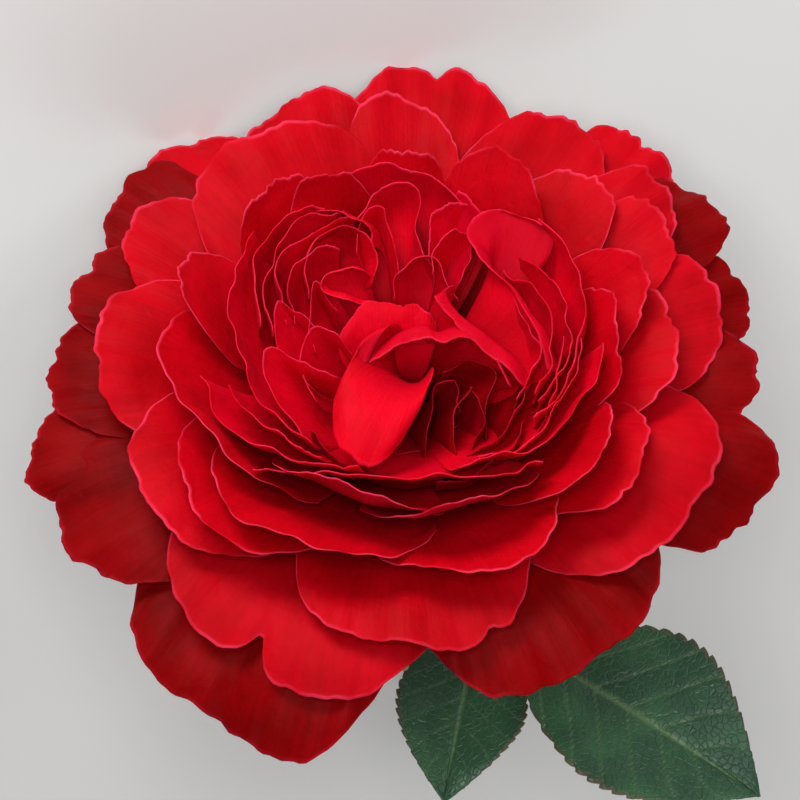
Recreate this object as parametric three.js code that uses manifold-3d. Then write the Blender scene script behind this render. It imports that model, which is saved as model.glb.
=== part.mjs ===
// Hybrid tea rose: one full, quartered bloom on a short cut stem with a leaf, lying as it was picked.
// Millimetres, +Z up. Every piece is modelled in the bloom's own frame, with the bloom's axis along +Z and
// the receptacle's neck at the origin, and the whole flower is then laid on its guard petals and stem end.
import * as THREE from "three";
import { mergeVertices } from "three/addons/utils/BufferGeometryUtils.js";
import Module from "manifold-3d";

const wasm = await Module();
wasm.setup();

// ---- Driving dimensions ----

const CUP_RADIUS = 26; // inside this ring the rims stand at full height
const CROWN_HEIGHT = 36.7; // height of the tallest rims above the neck
const RIM_FALL = { slope: 1.04, lessAtFarSide: 0.26, softenedOver: 10 }; // of the rims outside the cup
const PETAL_THICKNESS = 0.26;
const CLAW_RADIUS = 3.9; // where the innermost ring petal leaves the receptacle
const CLAW_HEIGHT = 9;
const CLAW_STEP_OUT = 0.26; // each further layer leaves the receptacle this much further out
const CLAW_STEP_DOWN = 0.42; // and this much lower
const CLAW_GAP = 0.3;
const LAST_LAYER = 13; // of the outermost petals
const PETAL_GRID = { along: 8, across: 5 };

// A ring petal's profile, angles in degrees: it leaves its claw at rise, less further out, and reaches its
// rim upright inside the cup and rolled back outside it.
const PETAL_PROFILE = { rise: 42, riseLostPerMm: 0.62, upright: 84, handle: 0.4, edgeDrop: 0.33 };
const ROLL_BACK = { most: 120, lessAtFarSide: 20, over: 18, power: 1.6 };

const STEM_RADIUS = 2.5;
const STEM_SIDES = 10;
const STEM_STEPS = 9;
const HIP_FOOT = -15;
const HIP_SIDES = 20;
const PIECE_GAP = 0.3;

// The stem's prickles: how far along it each stands and which way, in degrees.
const PRICKLE = { radius: 1.7, length: 5.5, sides: 7, sunk: 0.7, droop: 0.25 };
const PRICKLES = [
  { at: 0.38, azimuth: 150 },
  { at: 0.62, azimuth: 20 },
  { at: 0.84, azimuth: 250 },
];

const SEPAL_COUNT = 5;
const SEPAL_HALF_WIDTH = 3.8;
const SEPAL_THICKNESS = 0.6;
const SEPAL_TURN = 18; // azimuth of the first sepal
const SEPAL_HOLLOW = 0.12; // how far its edges turn up, as a share of its half width
const SEPAL_OUTLINE = { from: 0.22, widestAt: 0.36 }; // it starts part of the way up a pointed blade
const BLADE_TIP = 0.1; // least width of a pointed blade, as a share of its widest

const LEAF_THICKNESS = 0.45;
const LEAF_STALK_RADIUS = 0.9;
const LEAF_HEADING = -35;
const LEAFLET = { widestAt: 0.42, droop: 0.1, hollow: 0.16 };
// Each leaflet's place along the stalk, and its turn from the leaf's heading and rise, in degrees.
const LEAFLETS = [
  { length: 43, width: 30, at: 0.97, turn: 0, rise: 4 },
  { length: 30, width: 21, at: 0.62, turn: 66, rise: 2 },
  { length: 30, width: 21, at: 0.62, turn: -66, rise: 2 },
];

// How the flower lies: the bloom's axis leans this far from upright, after this turn about itself.
const LAID_DOWN = { lean: 65.83, turn: -15.34 };

// ---- Petal layout ----

// Each ring petal lies on one of many nested cups. Azimuth is its middle and spread its half width, both in
// degrees; reach is the radius of its cup at the rim, lean the change of that radius towards its
// counter-clockwise edge, and extent how far up the cup it grows.
const RING_PETALS = {
  guard: [
    [174, 16, 55.0, 0.8, 0.97],
    [188, 13, 56.8, 0, 0.97],
    [205, 22, 53.0, -1, 1],
    [240, 29, 56.5, 0.5, 1],
    [301, 33, 50.4, 1.9, 1],
    [345, 20, 55.5, 0.3, 0.99],
    [6, 15, 53.0, 0, 1],
    [22, 15, 60.5, 0, 0.93],
    [37, 14, 58.5, 0, 1],
    [51, 14, 62.0, 0, 0.97],
    [84, 20, 59.0, 0, 0.99],
    [108, 17, 56.5, 0, 0.97],
    [127, 14, 60.0, 0, 0.97],
    [138, 17, 57.5, 0, 0.98],
    [157, 16, 53.0, 0, 0.99],
  ],
  outer: [
    [243, 37, 49.0, 2.5, 1],
    [62, 17, 55.0, 0, 1],
    [336, 32, 47.3, 0, 1],
    [274, 34, 44.2, -0.2, 0.98],
    [210, 30, 42.2, 0.5, 1],
    [174, 26, 45.5, -2, 1],
    [17, 20, 50.0, 0, 1],
    [42, 15, 53.5, 0, 0.98],
    [118, 27, 47.5, 0, 1],
    [90, 16, 51.5, 0, 0.95],
    [145, 16, 49.5, -0.5, 0.99],
  ],
  middle: [
    [8, 25, 41.0, 0, 1],
    [33, 15, 46.5, 0, 1],
    [196, 44, 33.2, -5, 1],
    [222, 33, 37.5, 0, 1],
    [240, 42, 34.5, -1, 1],
    [292, 34, 36.6, 0.8, 0.98],
    [332, 24, 39.0, 1, 0.98],
    [328, 24, 33.0, 0, 1],
    [48, 17, 42.5, 0, 1],
    [20, 20, 37.5, 0, 1],
  ],
  inner: [
    [64, 20, 36.0, 0, 1],
    [89, 15, 33.0, 0, 1],
    [5, 25, 32.0, 0, 1],
    [128, 20, 31.5, 0, 1],
    [113, 17, 29.0, 0, 1],
    [158, 18, 34.5, -4, 1],
    [252, 34, 26.2, 0.5, 1],
    [288, 33, 28.5, 1, 1],
  ],
};

// The heart of the bloom is quartered: its small petals stand in nested arcs around four off-centre axes.
const HEART_PETALS = {
  quarter_left_outer: { axis: [-5, 10], azimuth: 170, spread: 80, radius: 9.5, height: 31 },
  quarter_left_inner: { axis: [-5, 10], azimuth: 165, spread: 75, radius: 5.8, height: 31 },
  quarter_right_outer: { axis: [10.5, 2.5], azimuth: 0, spread: 75, radius: 9, height: 31 },
  quarter_right_inner: { axis: [10.5, 2.5], azimuth: 5, spread: 75, radius: 5.5, height: 31 },
  quarter_top_outer: { axis: [5, 15], azimuth: 78, spread: 50, radius: 8, height: 31 },
  quarter_top_inner: { axis: [5, 15], azimuth: 85, spread: 50, radius: 4.5, height: 31 },
  heart_tongue: { axis: [-4, -6.5], azimuth: 240, spread: 60, radius: 6, height: 27 },
  heart_ribbon: { axis: [6, -4.5], azimuth: 275, spread: 45, radius: 5.5, height: 25 },
};
const HEART_CLAW = { share: 0.16, opening: 0.13, height: 9.6 };
const HEART_GRID = { along: 4, across: 7 };
const HEART_OPENING_POWER = 0.8; // how early a heart petal opens on its way up
const HEART_EDGE_DROP = 5;

// ---- Materials ----

const petalVelvet = new THREE.MeshStandardMaterial({ color: 0xc00018, roughness: 0.55, metalness: 0 });
const guardVelvet = new THREE.MeshStandardMaterial({ color: 0xa00012, roughness: 0.55, metalness: 0 });
const heartVelvet = new THREE.MeshStandardMaterial({ color: 0xd01028, roughness: 0.5, metalness: 0 });
const sepalGreen = new THREE.MeshStandardMaterial({ color: 0x4a6b2c, roughness: 0.7, metalness: 0 });
const stemGreen = new THREE.MeshStandardMaterial({ color: 0x5d7a33, roughness: 0.55, metalness: 0 });
const leafGreen = new THREE.MeshStandardMaterial({ color: 0x1f4a2a, roughness: 0.5, metalness: 0 });

// ---- Geometry helpers ----

const radians = THREE.MathUtils.degToRad;

// Position-only, welded copy of a geometry, as a closed solid needs.
function welded(geometry) {
  const bare = geometry.clone();
  for (const name of Object.keys(bare.attributes)) if (name !== "position") bare.deleteAttribute(name);
  return mergeVertices(bare, 1e-4);
}

// One solid from several closed geometries that overlap.
function joined(geometries) {
  const solids = geometries.map((geometry) => {
    const closed = welded(geometry);
    const vertProperties = new Float32Array(closed.attributes.position.array);
    return new wasm.Manifold(
      new wasm.Mesh({ numProp: 3, vertProperties, triVerts: new Uint32Array(closed.index.array) }),
    );
  });
  const mesh = solids.reduce((sum, solid) => sum.add(solid)).getMesh();
  const geometry = new THREE.BufferGeometry();
  geometry.setAttribute("position", new THREE.BufferAttribute(new Float32Array(mesh.vertProperties), 3));
  geometry.setIndex(new THREE.BufferAttribute(new Uint32Array(mesh.triVerts), 1));
  geometry.computeVertexNormals();
  return geometry;
}

// A thin closed sheet around the surface middle(u, v), u from 0 to 1 along it and v from -1 to 1 across.
// Seen with u going away and v to the right, its face is up.
function sheet(middle, thickness, { along, across }) {
  const step = 1e-3;
  const face = [];
  const back = [];
  for (let i = 0; i <= along; i++) {
    for (let j = 0; j <= across; j++) {
      const u = i / along;
      const v = (2 * j) / across - 1;
      const point = middle(u, v);
      const alongSheet = middle(u + step, v).sub(middle(u - step, v));
      const acrossSheet = middle(u, v + step).sub(middle(u, v - step));
      const normal = acrossSheet.cross(alongSheet).normalize();
      face.push(point.clone().addScaledVector(normal, thickness / 2));
      back.push(point.clone().addScaledVector(normal, -thickness / 2));
    }
  }
  const row = across + 1;
  const at = (i, j) => i * row + j;
  const behind = (index) => index + face.length;
  const triangles = [];
  for (let i = 0; i < along; i++) {
    for (let j = 0; j < across; j++) {
      const [a, b, c, d] = [at(i, j), at(i, j + 1), at(i + 1, j + 1), at(i + 1, j)];
      triangles.push(a, b, c, a, c, d);
      triangles.push(...[a, c, b, a, d, c].map(behind));
    }
  }
  const border = [];
  for (let j = 0; j < across; j++) border.push(at(0, j));
  for (let i = 0; i < along; i++) border.push(at(i, across));
  for (let j = across; j > 0; j--) border.push(at(along, j));
  for (let i = along; i > 0; i--) border.push(at(i, 0));
  border.forEach((a, k) => {
    const b = border[(k + 1) % border.length];
    triangles.push(a, behind(a), behind(b), a, behind(b), b);
  });
  const geometry = new THREE.BufferGeometry().setFromPoints([...face, ...back]);
  geometry.setIndex(triangles);
  geometry.computeVertexNormals();
  return geometry;
}

// A round bar along a curve.
function bar(curve, radius, sides, steps) {
  const section = new THREE.Shape().absarc(0, 0, radius, 0, 2 * Math.PI);
  return new THREE.ExtrudeGeometry(section, {
    steps,
    curveSegments: sides,
    bevelEnabled: false,
    extrudePath: curve,
  });
}

// Half width of a pointed blade at u, as a share of its widest.
function bladeWidth(u, widestAt) {
  const towards = THREE.MathUtils.clamp(u, 0, 1) ** (Math.log(0.5) / Math.log(widestAt));
  return BLADE_TIP + (1 - BLADE_TIP) * Math.sin(Math.PI * towards);
}

// ---- Petals ----

const signedTurn = (degrees) => THREE.MathUtils.euclideanModulo(degrees + 180, 360) - 180;

// Height of the rim of the cup of this radius: level inside, falling outwards, and less so at the far side.
function rimHeight(radius, azimuth) {
  const beyond = Math.max(0, radius - CUP_RADIUS);
  const fall = RIM_FALL.slope - RIM_FALL.lessAtFarSide * Math.sin(radians(azimuth));
  return CROWN_HEIGHT - (fall * beyond * beyond) / (beyond + RIM_FALL.softenedOver);
}

// How far the rim of the cup of this radius is rolled back from upright, in radians.
function rollBack(radius, azimuth) {
  const beyond = Math.max(0, radius - CUP_RADIUS);
  const most = ROLL_BACK.most - ROLL_BACK.lessAtFarSide * Math.sin(radians(azimuth));
  return radians(most * (1 - Math.exp(-((beyond / ROLL_BACK.over) ** ROLL_BACK.power))));
}

// The middle surface of a ring petal: a curve from its claw to the rim of its cup, swept round the axis.
function ringPetalSurface({ azimuth, spread, reach, lean, extent, layer }) {
  return (u, v) => {
    const angle = azimuth + spread * v;
    const radius = reach + lean * v;
    const clawHeight = CLAW_HEIGHT - CLAW_STEP_DOWN * layer;
    const claw = new THREE.Vector2(CLAW_RADIUS + CLAW_STEP_OUT * layer, clawHeight);
    const rim = new THREE.Vector2(radius, rimHeight(radius, angle));
    const rise = radians(PETAL_PROFILE.rise - PETAL_PROFILE.riseLostPerMm * (radius - CUP_RADIUS));
    const arrival = radians(PETAL_PROFILE.upright) - rollBack(radius, angle);
    const handle = PETAL_PROFILE.handle * claw.distanceTo(rim);
    const profile = new THREE.CubicBezierCurve(
      claw,
      new THREE.Vector2(claw.x + handle * Math.cos(rise), claw.y + handle * Math.sin(rise)),
      new THREE.Vector2(rim.x - handle * Math.cos(arrival), rim.y - handle * Math.sin(arrival)),
      rim,
    );
    const grown = extent * (1 - PETAL_PROFILE.edgeDrop * Math.abs(v) ** 3);
    const { x: out, y: up } = profile.getPoint(u * grown);
    return new THREE.Vector3(out * Math.cos(radians(angle)), out * Math.sin(radians(angle)), up);
  };
}

// Whether one ring petal stands in front of another, nearer to the axis, in the middle of their shared arc.
function standsInFront(front, behind) {
  const apart = signedTurn(behind.azimuth - front.azimuth);
  if (Math.abs(apart) > front.spread + behind.spread) return false;
  const from = Math.max(-front.spread, apart - behind.spread);
  const to = Math.min(front.spread, apart + behind.spread);
  const shared = (from + to) / 2;
  const frontReach = front.reach + (front.lean * shared) / front.spread;
  const behindReach = behind.reach + (behind.lean * (shared - apart)) / behind.spread;
  return frontReach < behindReach;
}

// A petal's layer is one more than the highest layer among the petals in front of it.
function layerOf(petal, petals) {
  if (petal.layer === undefined) {
    const inFront = petals.filter((other) => other !== petal && standsInFront(other, petal));
    petal.layer = Math.max(-1, ...inFront.map((other) => layerOf(other, petals))) + 1;
  }
  return petal.layer;
}

// The middle surface of a heart petal: an upright cup wall around its own axis.
function heartPetalSurface({ axis, azimuth, spread, radius, height }) {
  return (u, v) => {
    const angle = radians(azimuth + spread * v);
    const open = HEART_CLAW.opening + (1 - HEART_CLAW.opening) * Math.max(0, u) ** HEART_OPENING_POWER;
    const shift = HEART_CLAW.share + (1 - HEART_CLAW.share) * u;
    const top = height - HEART_EDGE_DROP * Math.abs(v) ** 3;
    return new THREE.Vector3(
      axis[0] * shift + radius * open * Math.cos(angle),
      axis[1] * shift + radius * open * Math.sin(angle),
      THREE.MathUtils.lerp(HEART_CLAW.height, top, u),
    );
  };
}

// ---- Pieces ----

const flower = new THREE.Group();

function addPiece(name, geometry, material) {
  const mesh = new THREE.Mesh(geometry, material);
  mesh.name = name;
  flower.add(mesh);
}

function addRingPetals() {
  const petals = Object.entries(RING_PETALS).flatMap(([ring, rows]) =>
    rows.map(([azimuth, spread, reach, lean, extent], index) => {
      const name = `${ring}_petal_${String(index + 1).padStart(2, "0")}`;
      return { name, ring, azimuth, spread, reach, lean, extent };
    }),
  );
  for (const petal of petals) {
    petal.layer = layerOf(petal, petals);
    const geometry = sheet(ringPetalSurface(petal), PETAL_THICKNESS, PETAL_GRID);
    addPiece(petal.name, geometry, petal.ring === "guard" ? guardVelvet : petalVelvet);
  }
}

function addHeartPetals() {
  for (const [name, petal] of Object.entries(HEART_PETALS)) {
    addPiece(name, sheet(heartPetalSurface(petal), PETAL_THICKNESS, HEART_GRID), heartVelvet);
  }
}

// The hip with the calyx rim round its mouth, and above it the cone that the petals grow from.
function addHip() {
  const coneFoot = [CLAW_RADIUS + CLAW_STEP_OUT * LAST_LAYER, CLAW_HEIGHT - CLAW_STEP_DOWN * LAST_LAYER];
  const profile = [
    [0, HIP_FOOT],
    [2.6, HIP_FOOT],
    [3.1, -13],
    [4.6, -10],
    [5.1, -6.5],
    [4.7, -3],
    [5.4, -0.6],
    [7.1, 1],
    [7.4, 2.3],
    [coneFoot[0] - CLAW_GAP, coneFoot[1] - CLAW_GAP],
    [CLAW_RADIUS - CLAW_GAP, CLAW_HEIGHT - CLAW_GAP],
    [0, CLAW_HEIGHT],
  ];
  const points = profile.map(([out, up]) => new THREE.Vector2(out, up));
  addPiece("hip", welded(new THREE.LatheGeometry(points, HIP_SIDES).rotateX(Math.PI / 2)), stemGreen);
}

function addSepals() {
  const spine = new THREE.CubicBezierCurve(
    new THREE.Vector2(7.8, 1.5),
    new THREE.Vector2(16, 3.5),
    new THREE.Vector2(24, -1),
    new THREE.Vector2(25, -15),
  );
  for (let k = 0; k < SEPAL_COUNT; k++) {
    const azimuth = radians((360 / SEPAL_COUNT) * k + SEPAL_TURN);
    const surface = (u, v) => {
      const { x: out, y: up } = spine.getPoint(u);
      const along = SEPAL_OUTLINE.from + (1 - SEPAL_OUTLINE.from) * u;
      const side = SEPAL_HALF_WIDTH * bladeWidth(along, SEPAL_OUTLINE.widestAt) * v;
      const hollow = SEPAL_HOLLOW * SEPAL_HALF_WIDTH * v * v;
      return new THREE.Vector3(out, side, up + hollow).applyAxisAngle(new THREE.Vector3(0, 0, 1), azimuth);
    };
    addPiece(`sepal_${k + 1}`, sheet(surface, SEPAL_THICKNESS, { along: 7, across: 2 }), sepalGreen);
  }
}

const stemCurve = new THREE.CatmullRomCurve3([
  new THREE.Vector3(0, 0, HIP_FOOT - PIECE_GAP),
  new THREE.Vector3(0.6, -1, -42),
  new THREE.Vector3(2.4, -1.2, -70),
  new THREE.Vector3(6.5, 1.5, -102),
]);

// The cut stem, with its hooked prickles as part of the same solid.
function addStem() {
  const prickles = PRICKLES.map(({ at, azimuth }) => {
    const root = stemCurve.getPointAt(at);
    const towards = radians(azimuth);
    const outward = new THREE.Vector3(Math.cos(towards), Math.sin(towards), -PRICKLE.droop);
    const cone = new THREE.ConeGeometry(PRICKLE.radius, PRICKLE.length, PRICKLE.sides);
    cone.translate(0, PRICKLE.length / 2, 0);
    cone.applyQuaternion(
      new THREE.Quaternion().setFromUnitVectors(new THREE.Vector3(0, 1, 0), outward.clone().normalize()),
    );
    const start = root.addScaledVector(outward, STEM_RADIUS - PRICKLE.sunk);
    return cone.translate(start.x, start.y, start.z);
  });
  const stem = bar(stemCurve, STEM_RADIUS, STEM_SIDES, STEM_STEPS);
  addPiece("stem", joined([stem, ...prickles]), stemGreen);
}

// One pointed leaflet along +X from the origin, its face up, bent down towards its tip.
function leaflet(length, width) {
  const surface = (u, v) => {
    const half = (width / 2) * bladeWidth(u, LEAFLET.widestAt);
    const up = LEAFLET.hollow * half * Math.abs(v) - LEAFLET.droop * length * u * u;
    return new THREE.Vector3(length * u, half * v, up);
  };
  return sheet((u, v) => surface(u, -v), LEAF_THICKNESS, { along: 7, across: 4 });
}

// A leaf of three leaflets on its stalk, all one solid, growing beside the stem below the bloom.
function addLeaf() {
  const stalk = new THREE.CatmullRomCurve3([
    new THREE.Vector3(4.1, -2.6, -50),
    new THREE.Vector3(10, -6.5, -44),
    new THREE.Vector3(21, -14, -40),
  ]);
  const leaflets = LEAFLETS.map(({ length, width, at, turn, rise }) =>
    leaflet(length, width)
      .rotateY(radians(-rise))
      .rotateZ(radians(LEAF_HEADING + turn))
      .translate(...stalk.getPoint(at).toArray()),
  );
  addPiece("leaf", joined([bar(stalk, LEAF_STALK_RADIUS, 6, 5), ...leaflets]), leafGreen);
}

addHip();
addStem();
addSepals();
addLeaf();
addRingPetals();
addHeartPetals();

// ---- Laid down ----

flower.rotation.set(-radians(LAID_DOWN.lean), 0, radians(LAID_DOWN.turn));

// The part's origin is under the middle of its box, on the surface it lies on.
const part = new THREE.Group();
part.add(flower);
part.updateMatrixWorld(true);
const box = new THREE.Box3().setFromObject(part, true);
const middle = box.getCenter(new THREE.Vector3());
flower.position.set(-middle.x, -middle.y, -box.min.z);

export default part;
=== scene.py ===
"""Looks of a hybrid tea rose: a full, quartered bloom on a short cut stem, lying as it was picked.

The bloom is designed upright in its own frame, in millimetres: its axis is +Z and the neck of the
receptacle is the origin. BloomFrame lays every piece down into the part's frame, in metres.
"""
import logging
import math
from dataclasses import dataclass, field
from enum import Enum

import bpy
import numpy as np
from mathutils import Matrix, Vector


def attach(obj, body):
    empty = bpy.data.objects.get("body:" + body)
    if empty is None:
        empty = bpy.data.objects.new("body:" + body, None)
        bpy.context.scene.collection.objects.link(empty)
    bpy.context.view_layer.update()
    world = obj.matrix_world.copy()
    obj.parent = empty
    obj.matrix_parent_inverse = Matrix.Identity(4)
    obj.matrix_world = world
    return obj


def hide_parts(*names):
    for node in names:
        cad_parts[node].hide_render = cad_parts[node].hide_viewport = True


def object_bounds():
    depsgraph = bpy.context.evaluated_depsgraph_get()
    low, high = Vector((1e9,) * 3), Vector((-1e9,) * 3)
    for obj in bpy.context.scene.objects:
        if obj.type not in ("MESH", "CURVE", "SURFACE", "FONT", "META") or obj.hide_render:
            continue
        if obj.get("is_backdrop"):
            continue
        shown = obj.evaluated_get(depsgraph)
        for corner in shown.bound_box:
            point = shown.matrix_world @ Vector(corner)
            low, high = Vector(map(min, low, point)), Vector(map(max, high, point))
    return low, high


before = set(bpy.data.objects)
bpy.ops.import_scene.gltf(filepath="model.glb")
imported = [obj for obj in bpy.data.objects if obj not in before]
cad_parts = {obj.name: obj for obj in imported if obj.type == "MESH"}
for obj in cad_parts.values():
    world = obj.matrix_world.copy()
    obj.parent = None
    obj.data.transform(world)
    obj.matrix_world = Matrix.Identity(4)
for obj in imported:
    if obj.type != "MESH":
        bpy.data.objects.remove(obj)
CAD_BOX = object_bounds()

log = logging.getLogger("rose")

MM = 0.001
SEED = 20

Colour = tuple[float, float, float]
Point = tuple[float, float, float]
Grid = np.ndarray


# ---- Places ----

@dataclass(frozen=True)
class BloomFrame:
    """Where the bloom's own upright frame lies in the part's frame: degrees and millimetres."""

    lean: float = 65.83
    azimuth: float = -15.34
    neck: Point = (-0.64, 24.81, 43.75)

    @property
    def turn(self) -> Matrix:
        """The turn that lays the bloom down."""
        lean, azimuth = math.radians(self.lean), math.radians(self.azimuth)
        return Matrix.Rotation(-lean, 3, "X") @ Matrix.Rotation(azimuth, 3, "Z")

    def place(self, points: np.ndarray) -> np.ndarray:
        """Lays points of the bloom down and keeps them on or above the surface.

        Args:
            points: an array of shape (n, 3), in the bloom's frame, in millimetres.

        Returns:
            The same points in the part's frame, in metres.
        """
        laid = points @ np.array(self.turn).T + np.array(Vector(self.neck))
        laid[:, 2] = np.maximum(laid[:, 2], 0.0)
        return laid * MM

    def point(self, x: float, y: float, z: float) -> Vector:
        """Lays one point of the bloom down, without keeping it above the surface."""
        return (self.turn @ Vector((x, y, z)) + Vector(self.neck)) * MM

    def direction(self, x: float, y: float, z: float) -> Vector:
        """Turns a direction of the bloom's frame into the part's."""
        return (self.turn @ Vector((x, y, z))).normalized()


BLOOM = BloomFrame()


class Slot(Enum):
    """The record's material slots, and the finishes of small pieces that share one of them."""

    PETAL = "petal"
    GUARD = "guard_petal"
    HEART = "heart_petal"
    SEPAL = "sepal"
    STEM = "stem"
    LEAF = "leaf"
    PRICKLE = "prickle"
    # a dark petal finish, painted shade in the hollow
    HOLLOW = "hollow"
    PITH = "pith"


# ---- Finishes ----

class NodeSketch:
    """Short hand for building one material's node tree."""

    def __init__(self, name: str) -> None:
        """Starts a material with an empty tree and its output."""
        self.material = bpy.data.materials.new(name)
        self.material.use_nodes = True
        self.tree = self.material.node_tree
        self.tree.nodes.clear()
        self.output = self.tree.nodes.new("ShaderNodeOutputMaterial")

    def node(self, kind: str, **values: object) -> bpy.types.Node:
        """Adds a node and sets its properties and unlinked inputs.

        Args:
            kind: the node's type name after "ShaderNode".
            values: property names, or input names with spaces as underscores.

        Returns:
            The new node.
        """
        made = self.tree.nodes.new("ShaderNode" + kind)
        for key, value in values.items():
            if hasattr(made, key):
                setattr(made, key, value)
            else:
                made.inputs[key.replace("_", " ")].default_value = value
        return made

    def link(self, source: bpy.types.NodeSocket, target: bpy.types.NodeSocket) -> None:
        """Joins two sockets."""
        self.tree.links.new(source, target)

    def attribute(self, name: str) -> bpy.types.NodeSocket:
        """Reads one of the mesh's own float attributes."""
        return self.node("Attribute", attribute_name=name).outputs["Fac"]

    def scaled(self, source: bpy.types.NodeSocket, scale: Point) -> bpy.types.NodeSocket:
        """Stretches texture coordinates."""
        mapping = self.node("Mapping")
        mapping.inputs["Scale"].default_value = scale
        self.link(source, mapping.inputs["Vector"])
        return mapping.outputs["Vector"]

    def noise(self, vector: bpy.types.NodeSocket, scale: float, detail: float = 3.0,
              distortion: float = 0.0) -> bpy.types.NodeSocket:
        """Adds a noise texture and gives its value."""
        made = self.node("TexNoise", Scale=scale, Detail=detail, Distortion=distortion)
        self.link(vector, made.inputs["Vector"])
        return made.outputs["Fac"]

    def ramp(self, source: bpy.types.NodeSocket, low: float, high: float) -> bpy.types.NodeSocket:
        """Spreads low..high of a value over 0..1, smoothly."""
        made = self.node("MapRange", interpolation_type="SMOOTHSTEP", From_Min=low, From_Max=high)
        self.link(source, made.inputs["Value"])
        return made.outputs["Result"]

    def math(self, operation: str, a: bpy.types.NodeSocket, b: object) -> bpy.types.NodeSocket:
        """Combines a value with another value or a number."""
        made = self.node("Math", operation=operation)
        self.link(a, made.inputs[0])
        if isinstance(b, bpy.types.NodeSocket):
            self.link(b, made.inputs[1])
        else:
            made.inputs[1].default_value = b
        return made.outputs["Value"]

    def mix(self, share: bpy.types.NodeSocket, a: object, b: object) -> bpy.types.NodeSocket:
        """Mixes two colours, each a socket or an RGB tuple."""
        made = self.node("Mix", data_type="RGBA")
        self.link(share, made.inputs["Factor"])
        for value, target in ((a, made.inputs[6]), (b, made.inputs[7])):
            if isinstance(value, bpy.types.NodeSocket):
                self.link(value, target)
            else:
                target.default_value = (*value, 1.0)
        return made.outputs[2]

    def bump(self, height: bpy.types.NodeSocket, strength: float, distance: float) -> bpy.types.NodeSocket:
        """Turns a height into a shading normal; distance is in metres."""
        made = self.node("Bump", Strength=strength, Distance=distance)
        self.link(height, made.inputs["Height"])
        return made.outputs["Normal"]

    def surface(self, skin: bpy.types.NodeSocket, normal: bpy.types.NodeSocket,
                **inputs: object) -> bpy.types.Material:
        """Dresses the material in one principled shader.

        Args:
            skin: the base colour.
            normal: the shading normal.
            inputs: the shader's other inputs, with spaces as underscores.

        Returns:
            The finished material.
        """
        shader = self.node("BsdfPrincipled", **inputs)
        self.link(normal, shader.inputs["Normal"])
        self.link(skin, shader.inputs["Base Color"])
        self.link(shader.outputs["BSDF"], self.output.inputs["Surface"])
        return self.material


@dataclass(frozen=True)
class PetalVelvet:
    """The finish of a rose petal: velvety face, paler back, fine veins to the rim, a thin painted highlight along
    the rim, and painted shade towards the base.
    """

    name: str
    face: Colour
    shade: Colour
    back: Colour
    # the colour of the painted highlight along the rim
    rim: Colour
    weathering: float = 0.0
    roughness: float = 0.55
    sheen: float = 0.015

    def material(self) -> bpy.types.Material:
        """Builds the node material."""
        s = NodeSketch(self.name)
        uv = s.node("TexCoord").outputs["UV"]
        space = s.node("TexCoord").outputs["Object"]
        veins = s.noise(s.scaled(uv, (26.0, 1.6, 1.0)), 2.2, 4.0, 0.3)
        mottle = s.noise(space, 90.0, 4.0)
        grain = s.noise(space, 2600.0, 2.0)
        tone = s.math("ADD", s.math("MULTIPLY", veins, 0.25), s.math("MULTIPLY", mottle, 0.75))
        face = s.mix(s.ramp(tone, 0.25, 0.7), self.shade, self.face)
        skin = s.mix(s.attribute("back"), face, self.back)
        # Painted shade: every petal darkens towards its base, as though deep inside the bloom.
        depth = s.ramp(s.attribute("along"), 0.1, 0.85)
        skin = s.mix(depth, tuple(0.35 * part for part in self.shade), skin)
        # Painted highlight: a thin pale pink line along the rim, where the rolled rim catches the light.
        patchy = s.math("MULTIPLY", s.ramp(s.noise(space, 130.0, 2.0), 0.3, 0.65), 0.7)
        painted_rim_highlight = s.math("MULTIPLY", s.ramp(s.attribute("rim"), 0.2, 1.0), patchy)
        skin = s.mix(painted_rim_highlight, skin, self.rim)
        if self.weathering:
            scorch = s.ramp(s.noise(space, 240.0, 3.0), 0.56, 0.72)
            worn = s.math("MULTIPLY", s.ramp(s.attribute("rim"), 0.1, 0.8), scorch)
            skin = s.mix(s.math("MULTIPLY", worn, self.weathering), skin, (0.05, 0.002, 0.006))
        crinkle = s.noise(space, 330.0, 3.0, 0.4)
        relief = s.math("ADD", s.math("MULTIPLY", veins, 0.6), s.math("MULTIPLY", grain, 0.12))
        relief = s.math("ADD", relief, s.math("MULTIPLY", crinkle, 1.6))
        return s.surface(skin, s.bump(relief, 0.35, 0.0004), Roughness=self.roughness,
                         Specular_IOR_Level=0.04, Sheen_Weight=self.sheen,
                         Sheen_Roughness=0.4, Sheen_Tint=(1.0, 0.16, 0.24, 1.0),
                         Subsurface_Weight=0.22, Subsurface_Radius=(1.0, 0.12, 0.1),
                         Subsurface_Scale=0.0016)


@dataclass(frozen=True)
class GreenSkin:
    """The finish of stem, hip and sepals: a green rind with a reddish flush and fine streaks."""

    name: str
    green: Colour
    pale: Colour
    flush: Colour
    streak: tuple[float, float, float] = (1.0, 1.0, 1.0)
    flush_share: float = 0.5
    roughness: float = 0.5

    def material(self) -> bpy.types.Material:
        """Builds the node material."""
        s = NodeSketch(self.name)
        space = s.node("TexCoord").outputs["Object"]
        streaks = s.noise(s.scaled(space, self.streak), 420.0, 4.0)
        patches = s.noise(space, 60.0, 3.0)
        skin = s.mix(s.ramp(streaks, 0.35, 0.7), self.green, self.pale)
        flushed = s.math("MULTIPLY", s.ramp(patches, 0.45, 0.75), self.flush_share)
        skin = s.mix(flushed, skin, self.flush)
        skin = s.mix(s.attribute("rim"), skin, self.flush)
        return s.surface(skin, s.bump(streaks, 0.25, 0.0003), Roughness=self.roughness, Subsurface_Weight=0.1,
                         Subsurface_Radius=(0.3, 0.6, 0.1), Subsurface_Scale=0.001)


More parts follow.
